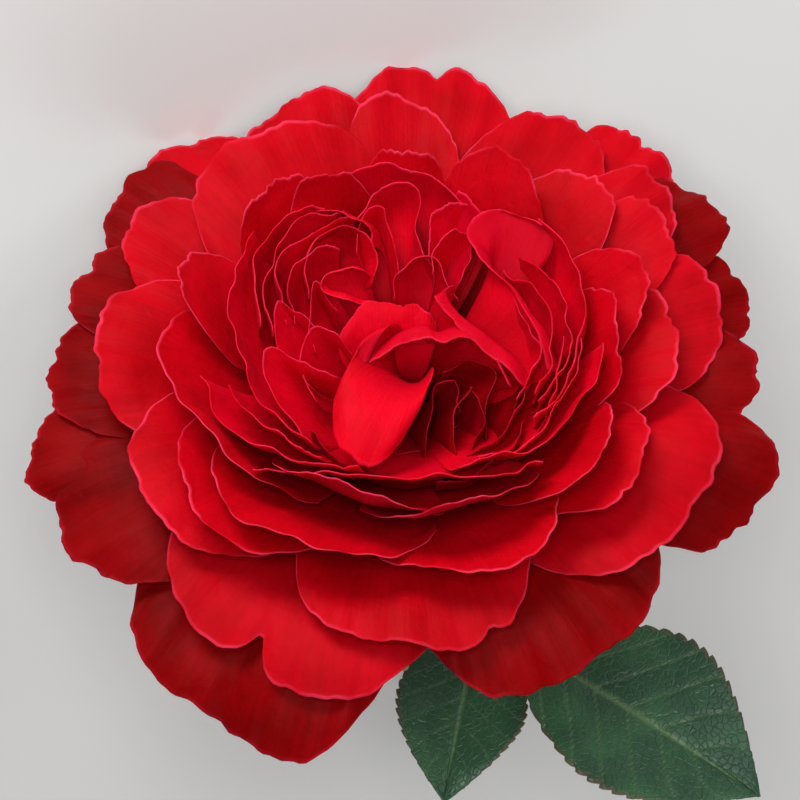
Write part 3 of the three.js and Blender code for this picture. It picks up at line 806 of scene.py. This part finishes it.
HEART_PETALS: list[HeartPetal] = [
    # left quarter, outermost first: nested arcs open to the right
    HeartPetal("quarter_left_1", [(-11, 24, 32), (-15.5, 22, 33), (-19, 18, 33.5), (-21, 12, 33),
               (-20.6, 4, 31)], (-1.2, 1.6, 9.8), belly=(-4, 2, -2), node="quarter_left_outer"),
    HeartPetal("quarter_left_2", [(-8, 23, 32), (-13, 21.3, 33), (-17.6, 16.8, 33.5), (-19.4, 11, 32.5),
               (-18.6, 3, 30)], (-1.0, 1.4, 9.8), belly=(-3, 1.5, -2), node="quarter_left_inner"),
    HeartPetal("quarter_left_3", [(-6.5, 21, 32), (-10.5, 20.7, 33), (-15, 17, 33), (-17.6, 11, 32.5),
               (-16.8, 5, 30.5)], (-0.8, 1.2, 9.8), belly=(-3, 1, -2), ruffle=0.5),
    HeartPetal("quarter_left_4", [(-9, 17.2, 31), (-12.5, 16.2, 32.5), (-15.2, 12.6, 32.5),
               (-16.2, 8.6, 31.5), (-15.2, 5.5, 30)], (-0.6, 1.0, 9.8), belly=(-2, 1, -2), ruffle=0.5),
    HeartPetal("quarter_left_5", [(-12.4, 24, 31), (-9, 23.4, 33), (-6, 21, 33), (-4.2, 17.5, 31.5)],
               (-0.5, 1.7, 9.8), arrive=(-0.3, -0.3, 0.9), belly=(1, 2, 0)),
    HeartPetal("quarter_left_lobe", [(-4.2, 12, 29), (-4.2, 16.5, 32), (-6.5, 19.8, 32.8),
               (-10.5, 19, 32.6), (-13.6, 14.5, 31), (-13.4, 10, 29)], (-0.4, 1.4, 9.8),
               arrive=(0.2, -0.25, 0.9), belly=(-2, 2, -1)),
    HeartPetal("quarter_left_curl", [(-4.6, 13, 29), (-7, 14, 31), (-10.5, 12.6, 31), (-11, 10.6, 30.5),
               (-8, 9.2, 30), (-5, 9.6, 29)], (-0.8, 0.9, 9.8), arrive=(0.1, -0.8, 0.3), reach=0.22),
    # fan of pointed petals below the left quarter
    HeartPetal("fan_1", [(-9.5, 8, 28), (-12.4, 11.4, 31.5), (-12.9, 6, 30), (-12, 1.5, 28)],
               (-1.3, 0.6, 9.6), belly=(-1, 0.5, -1), ruffle=0.2),
    HeartPetal("fan_2", [(-11.6, 4, 28), (-15.5, 6.2, 31), (-18.3, 7.4, 33), (-17.4, 2, 30),
               (-13, -3.5, 28)], (-1.6, 0.1, 9.6), arrive=(-0.5, 0.1, 0.8), belly=(-2, 0, -1)),
    HeartPetal("fan_3", [(-7.2, -3.4, 28), (-11, -2.8, 30), (-15, -1.8, 31), (-19.6, -1.2, 32.5),
               (-18.5, -6, 30), (-13.5, -12.5, 28)], (-1.7, -0.7, 9.5), arrive=(-0.5, 0.1, 0.8),
               belly=(-2, -2, -1)),
    HeartPetal("fan_4", [(-7, 1, 28), (-10, 3.2, 30), (-13, 3.6, 31), (-14.5, -1, 29), (-12, -6, 27)],
               (-1.2, -0.2, 9.6), arrive=(-0.3, 0.1, 0.9), belly=(-1.4, 0, 0), ruffle=0.2),
    # right quarter: nested arcs open to the left
    HeartPetal("quarter_right_1", [(19, -11, 31), (24, -5, 33), (26, 4, 33.5), (25, 13, 34),
               (20, 20.8, 33.5)], (1.9, 0.6, 9.8), belly=(4, 1, -2), node="quarter_right_outer"),
    HeartPetal("quarter_right_2", [(20, -8, 30.5), (23.4, -2, 32.5), (24, 4, 33.3), (22, 9.5, 33.3),
               (17.5, 15.5, 32)], (1.7, 0.5, 9.8), belly=(3, 0.5, -2), node="quarter_right_inner"),
    HeartPetal("quarter_right_3", [(19, -6.5, 30), (21.6, -1, 32), (21, 4.5, 32.6), (18.4, 10, 32.5),
               (15, 14, 31)], (1.5, 0.4, 9.8), belly=(3, 0.5, -2), ruffle=0.5),
    HeartPetal("quarter_right_4", [(16.5, -6, 28), (19.4, -1, 31), (18.4, 4, 31.5), (16, 8.4, 31)],
               (1.3, 0.2, 9.8), belly=(2, 0, -1), ruffle=0.5),
    HeartPetal("quarter_right_5", [(17, -14, 27), (20.6, -9.5, 29.5), (22.4, -4, 31.5), (22.6, 2, 32)],
               (1.7, -0.4, 9.7), belly=(2, -1, -2), ruffle=0.4),
    HeartPetal("quarter_right_lobe", [(21.5, -2, 29), (19.6, 3.5, 31), (16, 9.4, 32.3), (11.6, 13.2, 33),
               (9.8, 17, 33.5), (11, 21, 33.8), (15, 22.2, 34), (20, 20, 33)], (1.8, 0.8, 9.8),
               arrive=(-0.85, 0.05, 0.5), belly=(2, -1, 2), reach=0.28),
    HeartPetal("heart_shell", [(18, -4.5, 27), (14, -1, 29.5), (10, 2.3, 31), (7, 5, 31.6), (5, 8, 31.6),
               (6.5, 10, 31)], (1.2, 0.5, 9.8), arrive=(-0.6, -0.75, 0.1), belly=(1.5, 1, 2), reach=0.24),
    # top quarter: crumpled folds
    HeartPetal("quarter_top_1", [(10, 23, 31), (5, 28, 33.5), (-3, 29.5, 34), (-9.5, 27.5, 33.5)],
               (0.4, 2.5, 9.8), belly=(0, 2, -2), node="quarter_top_outer"),
    HeartPetal("quarter_top_2", [(4.4, 14.6, 29), (2.4, 19, 31.5), (1.2, 25.8, 33.5), (-4, 26.2, 33),
               (-6.5, 21, 31)], (0.2, 2.2, 9.8), belly=(0, 1, -1), ruffle=0.5, node="quarter_top_inner"),
    HeartPetal("quarter_top_3", [(11, 17.5, 30), (8.2, 20, 32), (5.6, 17.4, 31.5), (4.6, 13.5, 30)],
               (0.8, 1.6, 9.8), ruffle=0.5),
    HeartPetal("quarter_top_4", [(12.5, 22.5, 32), (8, 24, 33), (4.8, 21.4, 32), (3.8, 16, 30)],
               (0.8, 2.0, 9.8), arrive=(-0.3, 0.2, 0.9), ruffle=0.5),
    HeartPetal("quarter_top_5", [(-0.4, 14, 29), (-1.6, 18, 31.5), (-2.4, 22.6, 33), (-5.4, 22, 32.5),
               (-5.6, 17, 30.5)], (-0.2, 1.9, 9.8), ruffle=0.5),
    HeartPetal("quarter_top_6", [(9, 26.5, 33), (11.5, 21.5, 33), (10.6, 16, 31), (8.6, 12.6, 29)],
               (1.0, 2.0, 9.8), arrive=(0.4, 0.1, 0.9), ruffle=0.5),
    HeartPetal("heart_bud", [(8, 10, 28), (5.6, 14.2, 30.5), (2.6, 15.4, 31), (-0.4, 13.4, 30.5),
               (-1, 10, 28)], (0.3, 1.0, 9.8), arrive=(0, -0.5, 0.8), belly=(0, 2, 1), reach=0.25),
    # middle: the saddle that arches over the hollow, and the tongue that curls out of it
    HeartPetal("heart_saddle", [(5.5, 6, 28), (2.5, 8, 30.5), (-1.5, 8.2, 31), (-5.5, 8, 30.5),
               (-9, 4, 28.5)], (0.2, 0.4, 9.8), arrive=(0.1, 0.6, 0.6), belly=(0, -1, 1)),
    HeartPetal("heart_ribbon", [(15.5, -4.4, 27.5), (12.6, 0.4, 30), (9.5, 1.9, 31), (6, 1.0, 31),
               (3.6, 2.2, 31.2), (0, 1.2, 31), (-4.6, -2.2, 30.5)], (0.9, 0.9, 9.8),
               arrive=(0.05, -1.0, 0.05), belly=(0, 1, 1.5), reach=0.27, node="heart_ribbon"),
    HeartPetal("heart_tongue", [(-4.6, -1.2, 31.5), (-8.4, -4, 31.4), (-10.4, -9, 30.8), (-9.4, -14.2, 30),
               (-5.6, -17.2, 29.2), (-1.6, -16, 28.8), (0.6, -12.6, 28.6), (2.2, -9, 28.6)],
               (0.4, 0.2, 9.8), arrive=(-0.35, -0.85, -0.3), belly=(3, 4, 4), reach=0.34,
               node="heart_tongue"),
    # these two points wear the dark hollow finish: painted shade
    HeartPetal("heart_point_1", [(2.5, -14, 20), (4.4, -5, 26), (8, -2.2, 27), (9, -6, 25)],
               (0.5, -1.4, 9.6), finish=Slot.HOLLOW),
    HeartPetal("heart_point_2", [(8.4, -18, 19), (7.6, -10, 24.5), (10, -3, 27), (12, -8, 24.5),
               (9.6, -16, 20)], (1.1, -1.2, 9.6), finish=Slot.HOLLOW),
    # petals deep in the hollow, in the dark hollow finish: painted shade
    HeartPetal("hollow_1", [(-13, -11, 27), (-8, -15.5, 27), (-1, -17.5, 26), (6, -17.5, 26)],
               (-0.4, -1.9, 9.5), belly=(-1, -2, -2), finish=Slot.HOLLOW),
    HeartPetal("hollow_2", [(5, -18.5, 26), (11, -17, 26.5), (16, -13.2, 28.5), (17.8, -9, 27)],
               (0.8, -1.8, 9.5), belly=(1, -2, -2), finish=Slot.HOLLOW),
    HeartPetal("hollow_3", [(9.4, -13, 24), (13.6, -11.6, 26.5), (17, -7, 28.5), (17.6, -3, 28)],
               (1.4, -0.9, 9.6), belly=(1, -1, -1), finish=Slot.HOLLOW),
    HeartPetal("hollow_4", [(-4, -9, 19), (0, -10.6, 20), (5, -9.6, 20), (8, -6, 20)], (0.2, -1.6, 9.6),
               belly=(0, -1.5, -1), finish=Slot.HOLLOW),
    HeartPetal("hollow_5", [(11.5, -10, 22), (12.6, -5, 26), (13.2, -1.6, 27), (10, 0, 27), (6, 0, 26)],
               (1.1, -0.2, 9.6), finish=Slot.HOLLOW),
    # thin lips of the cup round the heart, on the near side
    HeartPetal("near_lip_1", [(-29, -5, 33), (-25.5, -12, 33), (-19.5, -16.4, 33), (-12.5, -18.6, 32.5),
               (-6, -19, 31)], (-1.2, -2.4, 9.3), arrive=(-0.35, -0.4, 0.8), belly=(-2, -3, -3),
               columns=64),
    HeartPetal("near_lip_2", [(-21, -20, 33), (-12, -20.4, 33), (0, -21.2, 32.8), (12, -21, 32.8),
               (20, -18.8, 33)], (0, -2.8, 9.2), arrive=(0, -0.6, 0.8), belly=(0, -4, -3), columns=64),
    HeartPetal("near_lip_3", [(8, -19.4, 32), (12.4, -18, 32.6), (18, -16.8, 33), (23, -12.6, 33),
               (27, -6.4, 33.2), (29, 0, 33.5)], (1.8, -2.2, 9.3), arrive=(0.3, -0.45, 0.8),
               belly=(2, -3, -3), columns=64),
    HeartPetal("near_lip_4", [(-24, -6, 32.5), (-21.6, -11, 32.5), (-16.5, -14.6, 32), (-11, -16.6, 31)],
               (-1.3, -1.9, 9.4), arrive=(-0.3, -0.3, 0.9), belly=(-2, -2, -3), columns=56),
    HeartPetal("near_lip_5", [(11, -17, 30.5), (17, -15, 31.5), (22, -10, 32.5), (25, -4, 33),
               (26, 1, 33)], (1.7, -1.6, 9.4), arrive=(0.2, -0.2, 0.9), belly=(2, -2, -3), columns=56),
    HeartPetal("side_lip_1", [(-21, 18, 34), (-24, 12, 34), (-24.6, 5, 33.5), (-22.6, -2.6, 33),
               (-19, -9.5, 32.5), (-12.4, -14.6, 31)], (-2.3, 0.2, 9.4), arrive=(-0.3, -0.1, 0.9),
               belly=(-3, 0, -3), columns=64),
]


# ---- Green parts ----

@dataclass(frozen=True)
class Hip:
    """The hip with its calyx rim, above it the receptacle that carries the petals."""

    outline: tuple[tuple[float, float], ...] = (
        (2.45, -15.6), (2.75, -14.2), (3.6, -11.8), (4.7, -9.4), (5.1, -6.5), (4.75, -3.2), (5.4, -0.6),
        (7.0, 1.0), (7.4, 2.3), (7.0, 3.3), (3.6, 8.7), (0.02, 9.0),
    )
    sides: int = 64
    steps: int = 80
    ribs: float = 0.02

    def build(self) -> None:
        """Makes the hip by turning its outline about the axis."""
        outline = through([(out, 0.0, up) for out, up in self.outline], np.linspace(0, 1, self.steps))
        turn = np.linspace(0, 2 * np.pi, self.sides, endpoint=False)
        ribs = 1 + self.ribs * np.cos(5 * turn)[None, :]
        out = np.maximum(outline[:, 0], 0.02)[:, None] * ribs
        up = np.repeat(outline[:, 2:3], self.sides, 1)
        grid = np.stack([out * np.cos(turn), out * np.sin(turn), up], -1)
        piece = tube("hip", grid, Slot.STEM)
        hand_over(piece, Slot.STEM, "hip")


def tube(name: str, rings: np.ndarray, slot: Slot) -> bpy.types.Object:
    """A closed round body from rings of points, with a cap at each end.

    Args:
        name: the piece's name.
        rings: an array of shape (rings, sides, 3), in the bloom's frame.
        slot: the material slot.

    Returns:
        The finished object.
    """
    count, sides = rings.shape[:2]
    points = np.vstack([rings.reshape(-1, 3), rings[0].mean(0), rings[-1].mean(0)])
    index = np.arange(count * sides).reshape(count, sides)
    ahead = np.roll(index, -1, axis=1)
    quads = np.stack([index[:-1], ahead[:-1], ahead[1:], index[1:]], -1).reshape(-1, 4).tolist()
    first, last = count * sides, count * sides + 1
    caps = [[first, int(b), int(a)] for a, b in zip(index[0], ahead[0])]
    caps += [[last, int(a), int(b)] for a, b in zip(index[-1], ahead[-1])]
    mesh = bpy.data.meshes.new(name)
    mesh.from_pydata(BLOOM.place(points).tolist(), [], quads + caps)
    mesh.shade_smooth()
    mesh.materials.append(material_of(slot))
    mesh.attributes.new("rim", "FLOAT", "POINT")
    return add_object(f"{name}_fine", mesh)


def rings_about(centre: Grid, radius: Grid, side: Grid, front: Grid, sides: int) -> Grid:
    """Round rings of points about a centre line, in the plane of side and front."""
    turn = np.linspace(0, 2 * np.pi, sides, endpoint=False)
    ring = np.cos(turn)[None, :, None] * side + np.sin(turn)[None, :, None] * front
    return centre[:, None, :] + radius[:, None, None] * ring


class SpikeTree:
    """A Geometry Nodes tree that sets bent tapering spikes on a mesh.

    With scatter, they stand on its faces, spread at random. Otherwise one stands on each of its
    points, along the point's "aim" and bent towards its "bend".
    """

    INPUTS = {
        "Length": "NodeSocketFloat", "Base Radius": "NodeSocketFloat", "Tip Radius": "NodeSocketFloat",
        "Bend": "NodeSocketFloat", "Flatness": "NodeSocketFloat", "Density": "NodeSocketFloat",
        "Sides": "NodeSocketInt", "Seed": "NodeSocketInt", "Material": "NodeSocketMaterial",
    }

    def __init__(self, name: str, scatter: bool) -> None:
        """Builds the tree.

        Args:
            name: the tree's name.
            scatter: whether the spikes are spread over the faces.
        """
        self.tree = bpy.data.node_groups.new(name, "GeometryNodeTree")
        face = self.tree.interface
        face.new_socket(name="Geometry", in_out="INPUT", socket_type="NodeSocketGeometry")
        for socket, kind in self.INPUTS.items():
            face.new_socket(name=socket, in_out="INPUT", socket_type=kind)
        face.new_socket(name="Geometry", in_out="OUTPUT", socket_type="NodeSocketGeometry")
        self.given = self.tree.nodes.new("NodeGroupInput").outputs
        points, rotation = self._scattered() if scatter else self._anchored()
        placed = self._node("GeometryNodeInstanceOnPoints", Points=points, Instance=self._spike(),
                            Rotation=rotation, Scale=self._sizes())
        real = self._node("GeometryNodeRealizeInstances", Geometry=placed.outputs["Instances"])
        dressed = self._node("GeometryNodeSetMaterial", Geometry=real.outputs["Geometry"],
                             Material=self.given["Material"])
        out = self.tree.nodes.new("NodeGroupOutput")
        self.tree.links.new(dressed.outputs["Geometry"], out.inputs["Geometry"])

    def _node(self, kind: str, options: dict[str, object] | None = None, **inputs: object) -> bpy.types.Node:
        """Adds a node; an input is given a socket to link to or a plain value."""
        made = self.tree.nodes.new(kind)
        for key, value in (options or {}).items():
            setattr(made, key, value)
        for key, value in inputs.items():
            target = next(s for s in made.inputs if s.enabled and s.name == key.replace("_", " "))
            if isinstance(value, bpy.types.NodeSocket):
                self.tree.links.new(value, target)
            else:
                target.default_value = value
        return made

    def _spike(self) -> bpy.types.NodeSocket:
        """One spike along +Z, bent towards +X by Bend at its tip."""
        cone = self._node("GeometryNodeMeshCone", Vertices=self.given["Sides"], Side_Segments=5,
                          Radius_Top=self.given["Tip Radius"], Radius_Bottom=self.given["Base Radius"],
                          Depth=self.given["Length"])
        place = self.tree.nodes.new("GeometryNodeInputPosition")
        parts = self._node("ShaderNodeSeparateXYZ", Vector=place.outputs["Position"])
        share = self._math("DIVIDE", parts.outputs["Z"], self.given["Length"])
        bent = self._math("MULTIPLY", self._math("POWER", share, 1.8), self.given["Bend"])
        offset = self._node("ShaderNodeCombineXYZ", X=bent)
        moved = self._node("GeometryNodeSetPosition", Geometry=cone.outputs["Mesh"],
                           Offset=offset.outputs["Vector"])
        smooth = self._node("GeometryNodeSetShadeSmooth", Geometry=moved.outputs["Geometry"])
        return smooth.outputs["Geometry"]

    def _math(self, operation: str, a: bpy.types.NodeSocket, b: object) -> bpy.types.NodeSocket:
        """Combines two numbers."""
        made = self.tree.nodes.new("ShaderNodeMath")
        made.operation = operation
        for value, target in ((a, made.inputs[0]), (b, made.inputs[1])):
            if isinstance(value, bpy.types.NodeSocket):
                self.tree.links.new(value, target)
            else:
                target.default_value = value
        return made.outputs["Value"]

    def _sizes(self) -> bpy.types.NodeSocket:
        """A random size for each spike, flattened across its bend."""
        size = self._node("FunctionNodeRandomValue", Min=0.75, Max=1.1, Seed=self.given["Seed"])
        value = next(s for s in size.outputs if s.enabled)
        flat = self._math("MULTIPLY", value, self.given["Flatness"])
        return self._node("ShaderNodeCombineXYZ", X=value, Y=flat, Z=value).outputs["Vector"]

    def _scattered(self) -> tuple[bpy.types.NodeSocket, bpy.types.NodeSocket]:
        """Points spread over the faces, and the turn that stands a spike up on each."""
        spread = self._node("GeometryNodeDistributePointsOnFaces", Mesh=self.given["Geometry"],
                            Density=self.given["Density"], Seed=self.given["Seed"])
        return spread.outputs["Points"], spread.outputs["Rotation"]

    def _anchored(self) -> tuple[bpy.types.NodeSocket, bpy.types.NodeSocket]:
        """The mesh's own points, and the turn from their aim and bend."""
        points = self._node("GeometryNodeMeshToPoints", Mesh=self.given["Geometry"])
        turn = None
        for name, axis, pivot in (("aim", "Z", "AUTO"), ("bend", "X", "Z")):
            read = self._node("GeometryNodeInputNamedAttribute", {"data_type": "FLOAT_VECTOR"}, Name=name)
            vector = next(s for s in read.outputs if s.enabled)
            given = {"Vector": vector} | ({"Rotation": turn} if turn else {})
            options = {"axis": axis, "pivot_axis": pivot}
            align = self._node("FunctionNodeAlignRotationToVector", options, **given)
            turn = align.outputs["Rotation"]
        return points.outputs["Points"], turn

    def grow(self, ground: bpy.types.Object, name: str, **values: object) -> bpy.types.Object:
        """Runs the tree on a mesh and keeps the result as a plain piece.

        Args:
            ground: the object that the spikes stand on.
            name: the new piece's name.
            values: the tree's inputs, with spaces as underscores, lengths in metres.

        Returns:
            The spikes, at the origin, without the ground.
        """
        modifier = ground.modifiers.new(name, "NODES")
        modifier.node_group = self.tree
        for socket in self.tree.interface.items_tree:
            key = socket.name.replace(" ", "_")
            if socket.in_out == "INPUT" and key in values:
                modifier[socket.identifier] = values[key]
        graph = bpy.context.evaluated_depsgraph_get()
        grown = bpy.data.meshes.new_from_object(ground.evaluated_get(graph), depsgraph=graph)
        ground.modifiers.remove(modifier)
        return add_object(name, grown)


@dataclass
class Sepals:
    """Five narrow sepals that have bent back below the open bloom."""

    count: int = 5
    half_width: float = 3.8
    first_azimuth: float = 18.0
    thickness: float = 0.55
    thinning: float = 0.35
    spine: tuple[Point, ...] = (
        (7.0, 0.0, 1.3), (13.5, 0.0, 2.3), (19.5, 0.0, 0.6), (23.5, 0.0, -5.0), (24.8, 0.0, -14.6),
    )

    def build(self) -> None:
        """Makes each sepal, turns it to its place and covers it with fine hairs."""
        tree = SpikeTree("sepal_down", scatter=True)
        for k in range(self.count):
            turn = 2 * np.pi * k / self.count + math.radians(self.first_azimuth)
            u, v = np.meshgrid(np.linspace(0, 1, 40), np.linspace(-1, 1, 17), indexing="ij")
            spine = through(list(self.spine), u)
            width = np.sin(np.pi * (0.22 + 0.78 * u) ** 0.68) * self.half_width
            lobes = 1 + 0.22 * smoothstep(0.3, 0.5, u) * (1 - u) * np.sin(31 * u + k)
            side = np.maximum(width * lobes, 0.12) * v
            up = spine[..., 2] + 0.5 * v**2 * (1 - u) + 0.15 * np.sin(14 * u + 2 * k) * v
            x = spine[..., 0] * np.cos(turn) - side * np.sin(turn)
            y = spine[..., 0] * np.sin(turn) + side * np.cos(turn)
            grid = np.stack([x, y, up], -1)
            rim = smoothstep(0.8, 1.0, np.abs(v)) * 0.6
            name = f"sepal_{k + 1}"
            piece = Sheet(name, grid, self.thickness - self.thinning * u, Slot.SEPAL, {"rim": rim}).build()
            down = tree.grow(piece, f"{name}_down", Length=0.7 * MM, Base_Radius=0.05 * MM,
                             Tip_Radius=0.03 * MM, Bend=0.15 * MM, Flatness=1.0, Density=1.4e6,
                             Sides=4, Seed=SEED + k, Material=material_of(Slot.SEPAL))
            hand_over(piece, Slot.SEPAL, name)
            hand_over(down, Slot.SEPAL)


@dataclass
class Stem:
    """The cut stem and its hooked prickles."""

    radius: float = 2.5
    sides: int = 40
    prickle_sunk: float = 0.6
    route: tuple[Point, ...] = ((0.0, 0.0, -15.3), (0.6, -1.0, -42.0), (2.4, -1.2, -70.0), (6.5, 1.5, -102.0))
    prickles: tuple[tuple[float, float], ...] = ((0.38, 150.0), (0.62, 20.0), (0.84, 250.0))

    def build(self) -> None:
        """Makes the stem, then the prickles with Geometry Nodes."""
        t = np.linspace(0, 1, 90)
        centre = through(list(self.route), t)
        tangent = np.gradient(centre, axis=0)
        tangent /= np.linalg.norm(tangent, axis=1, keepdims=True)
        side = np.cross(tangent, [0.0, 1.0, 0.0])
        side /= np.linalg.norm(side, axis=1, keepdims=True)
        front = np.cross(tangent, side)
        swell = self.radius * (1 + 0.02 * np.sin(9 * t))
        rings = rings_about(centre, swell, side[:, None, :], front[:, None, :], self.sides)
        stem = tube("stem", rings, Slot.STEM)
        stem.data.materials.append(material_of(Slot.PITH))
        for face in stem.data.polygons[-self.sides:]:
            face.material_index = 1
            face.use_smooth = False
        hand_over(stem, Slot.STEM, "stem")
        self.grow_prickles(t, centre, tangent, side, front)

    def grow_prickles(self, t: np.ndarray, centre: np.ndarray, tangent: np.ndarray, side: np.ndarray,
                      front: np.ndarray) -> None:
        """Sets the hooked prickles on the stem with Geometry Nodes.

        Args:
            t: how far along the stem each of the following rows stands.
            centre: the middle of the stem.
            tangent: the stem's direction.
            side: one direction across the stem.
            front: the other direction across it.
        """
        anchors, aims, bends = [], [], []
        for along, azimuth in self.prickles:
            row = int(np.abs(t - along).argmin())
            turn = math.radians(azimuth)
            out = math.cos(turn) * side[row] + math.sin(turn) * front[row]
            anchors.append(centre[row] + (self.radius - self.prickle_sunk) * out)
            aims.append(BLOOM.direction(*out))
            bends.append(BLOOM.direction(*tangent[row]))
        mesh = bpy.data.meshes.new("prickle_anchors")
        mesh.from_pydata([BLOOM.point(*anchor) for anchor in anchors], [], [])
        for name, vectors in (("aim", aims), ("bend", bends)):
            mesh.attributes.new(name, "FLOAT_VECTOR", "POINT").data.foreach_set("vector", np.ravel(vectors))
        ground = add_object("prickle_anchors", mesh)
        tree = SpikeTree("stem_prickles", scatter=False)
        prickles = tree.grow(ground, "prickles", Length=5.6 * MM, Base_Radius=2.0 * MM, Tip_Radius=0.1 * MM,
                             Bend=2.2 * MM, Flatness=0.55, Density=0.0, Sides=24, Seed=SEED,
                             Material=material_of(Slot.PRICKLE))
        bpy.data.objects.remove(ground)
        hand_over(prickles, Slot.STEM)


@dataclass
class Leaf:
    """A leaf of three toothed leaflets on its stalk."""

    heading: float = -35.0
    thickness: float = 0.4
    teeth: int = 17
    vein_pairs: int = 7
    stalk_radius: float = 1.1
    stalk_taper: float = 0.4
    leaflets: tuple[tuple[float, ...], ...] = (
        (43, 30, 0.97, 0, 4), (30, 21, 0.62, 66, 2), (30, 21, 0.62, -66, 2),
    )
    stalk: tuple[Point, ...] = ((3.0, -1.9, -51.0), (10.0, -6.5, -44.0), (21.0, -14.0, -40.0))

    def leaflet(self, length: float, width: float, at: float, turn: float,
                rise: float) -> tuple[Grid, dict[str, Grid]]:
        """One leaflet as a sheet's middle.

        Args:
            length: millimetres from base to tip.
            width: millimetres across.
            at: where it sits, as a share of the stalk.
            turn: degrees from the leaf's heading.
            rise: degrees above the level.

        Returns:
            Its grid in the bloom's frame, and its marks.
        """
        u, v = np.meshgrid(np.linspace(0, 1, 150), np.linspace(-1, 1, 33), indexing="ij")
        outline = np.sin(np.pi * u ** (math.log(0.5) / math.log(0.42))) ** 0.85
        teeth = 1 - 0.05 * ((u * self.teeth) % 1.0) ** 2 * smoothstep(0.02, 0.1, u)
        half = np.maximum(width / 2 * outline * (1 + (teeth - 1) * np.abs(v) ** 3), 0.15)
        x = length * u + 0.35 * half * np.abs(v) * smoothstep(0, 0.3, u) * (1 - u)
        lift = -0.1 * length * u**2 + 0.16 * half * np.abs(v) + 0.5 * np.sin(9 * u + 2 * v) * np.abs(v)
        veins = np.abs(np.sin(np.pi * self.vein_pairs * (u - 0.2 * np.abs(v))))
        midrib = 1 - smoothstep(0.0, 0.06, np.abs(v))
        vein = np.maximum(midrib, (1 - smoothstep(0.0, 0.16, veins)) * (1 - u) ** 0.3)
        lift = lift - 0.25 * vein
        grid = np.stack([x, half * v, lift], -1)
        pose = (Matrix.Rotation(math.radians(self.heading + turn), 3, "Z")
                @ Matrix.Rotation(math.radians(-rise), 3, "Y"))
        grid = grid @ np.array(pose).T + through(list(self.stalk), np.array(at))
        rim = smoothstep(0.93, 1.0, np.abs(v))
        return grid, {"vein": vein, "rim": rim}

    def build(self) -> None:
        """Makes the leaflets and the stalk."""
        made = []
        for number, size in enumerate(self.leaflets, start=1):
            grid, marks = self.leaflet(*size)
            thickness = np.full(grid.shape[:2], self.thickness)
            made.append(Sheet(f"leaflet_{number}", grid, thickness, Slot.LEAF, marks).build())
        t = np.linspace(0, 1, 40)
        centre = through(list(self.stalk), t)
        radius = self.stalk_radius - self.stalk_taper * t
        rings = rings_about(centre, radius, np.array([0.5, 0.86, 0.0]), np.array([0.0, 0.0, 1.0]), 16)
        made.append(tube("leaf_stalk", rings, Slot.STEM))
        for number, piece in enumerate(made):
            hand_over(piece, Slot.LEAF, *(["leaf"] if number == 0 else []))


# ---- Stage ----

@dataclass(frozen=True)
class Stage:
    """Floor, lights and camera."""

    distance: float = 600.0
    elevation: float = math.radians(61.0)
    target: Point = (-0.15, 1.9, 13.1)
    lens: float = 181.7
    lights: tuple[tuple[str, Point, float, float], ...] = (
        ("key_light", (-180, 220, 520), 300, 5.6), ("fill_light", (380, -60, 500), 400, 1.0),
        ("front_light", (-40, -260, 560), 220, 1.9), ("back_light", (150, -560, -200), 500, 1.5),
    )

    def build(self) -> None:
        """Makes the floor, the lights and the camera."""
        self.floor()
        self.sky()
        for light in self.lights:
            self.light(*light)
        self.camera()

    def floor(self) -> None:
        """A plain pale floor."""
        mesh = bpy.data.meshes.new("floor")
        half, below = 3.0, -0.0002
        corners = [(-half, -half, below), (half, -half, below), (half, half, below), (-half, half, below)]
        mesh.from_pydata(corners, [], [(0, 1, 2, 3)])
        s = NodeSketch("floor_paper")
        shader = s.node("BsdfPrincipled", Roughness=0.85)
        shader.inputs["Base Color"].default_value = (0.74, 0.73, 0.715, 1.0)
        s.link(shader.outputs["BSDF"], s.output.inputs["Surface"])
        mesh.materials.append(s.material)
        add_object("floor", mesh)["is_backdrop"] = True

    def sky(self) -> None:
        """Soft light from all round."""
        world = bpy.data.worlds.new("studio")
        world.use_nodes = True
        background = world.node_tree.nodes["Background"]
        background.inputs["Color"].default_value = (0.93, 0.96, 1.0, 1.0)
        background.inputs["Strength"].default_value = 0.16
        bpy.context.scene.world = world
        bpy.context.scene.view_settings.view_transform = "Standard"

    def light(self, name: str, place: Point, size: float, power: float) -> None:
        """A square soft light at a place in the bloom's frame, aimed at the bloom."""
        data = bpy.data.lights.new(name, "AREA")
        data.size = size * MM
        data.energy = power
        lamp = add_object(name, data)
        at, aim = BLOOM.point(*place), BLOOM.point(0, 0, 20)
        lamp.location = at
        lamp.rotation_euler = (aim - at).to_track_quat("-Z", "Y").to_euler()

    def camera(self) -> None:
        """The camera: 61 degrees above the plane of the bloom, looking down on the laid flower."""
        data = bpy.data.cameras.new("camera")
        data.lens = self.lens
        data.clip_start = 0.01
        camera = add_object("camera", data)
        away = BLOOM.direction(0, -math.cos(self.elevation), math.sin(self.elevation))
        up = BLOOM.direction(0, math.sin(self.elevation), math.cos(self.elevation))
        right = up.cross(away)
        turn = Matrix((right, up, away)).transposed().to_4x4()
        turn.translation = BLOOM.point(*self.target) + away * self.distance * MM
        camera.matrix_world = turn
        bpy.context.scene.camera = camera


def main() -> None:
    """Builds the stage and every piece of the flower."""
    logging.basicConfig(level=logging.INFO, format="%(name)s %(message)s")
    Stage().build()
    Hip().build()
    Stem().build()
    Sepals().build()
    Leaf().build()
    Bloom().build()
    boxes = {"cad": CAD_BOX, "visual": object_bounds()}
    {name: [list(map(float, corner)) for corner in box] for name, box in boxes.items()}


if __name__ == "__main__":
    main()
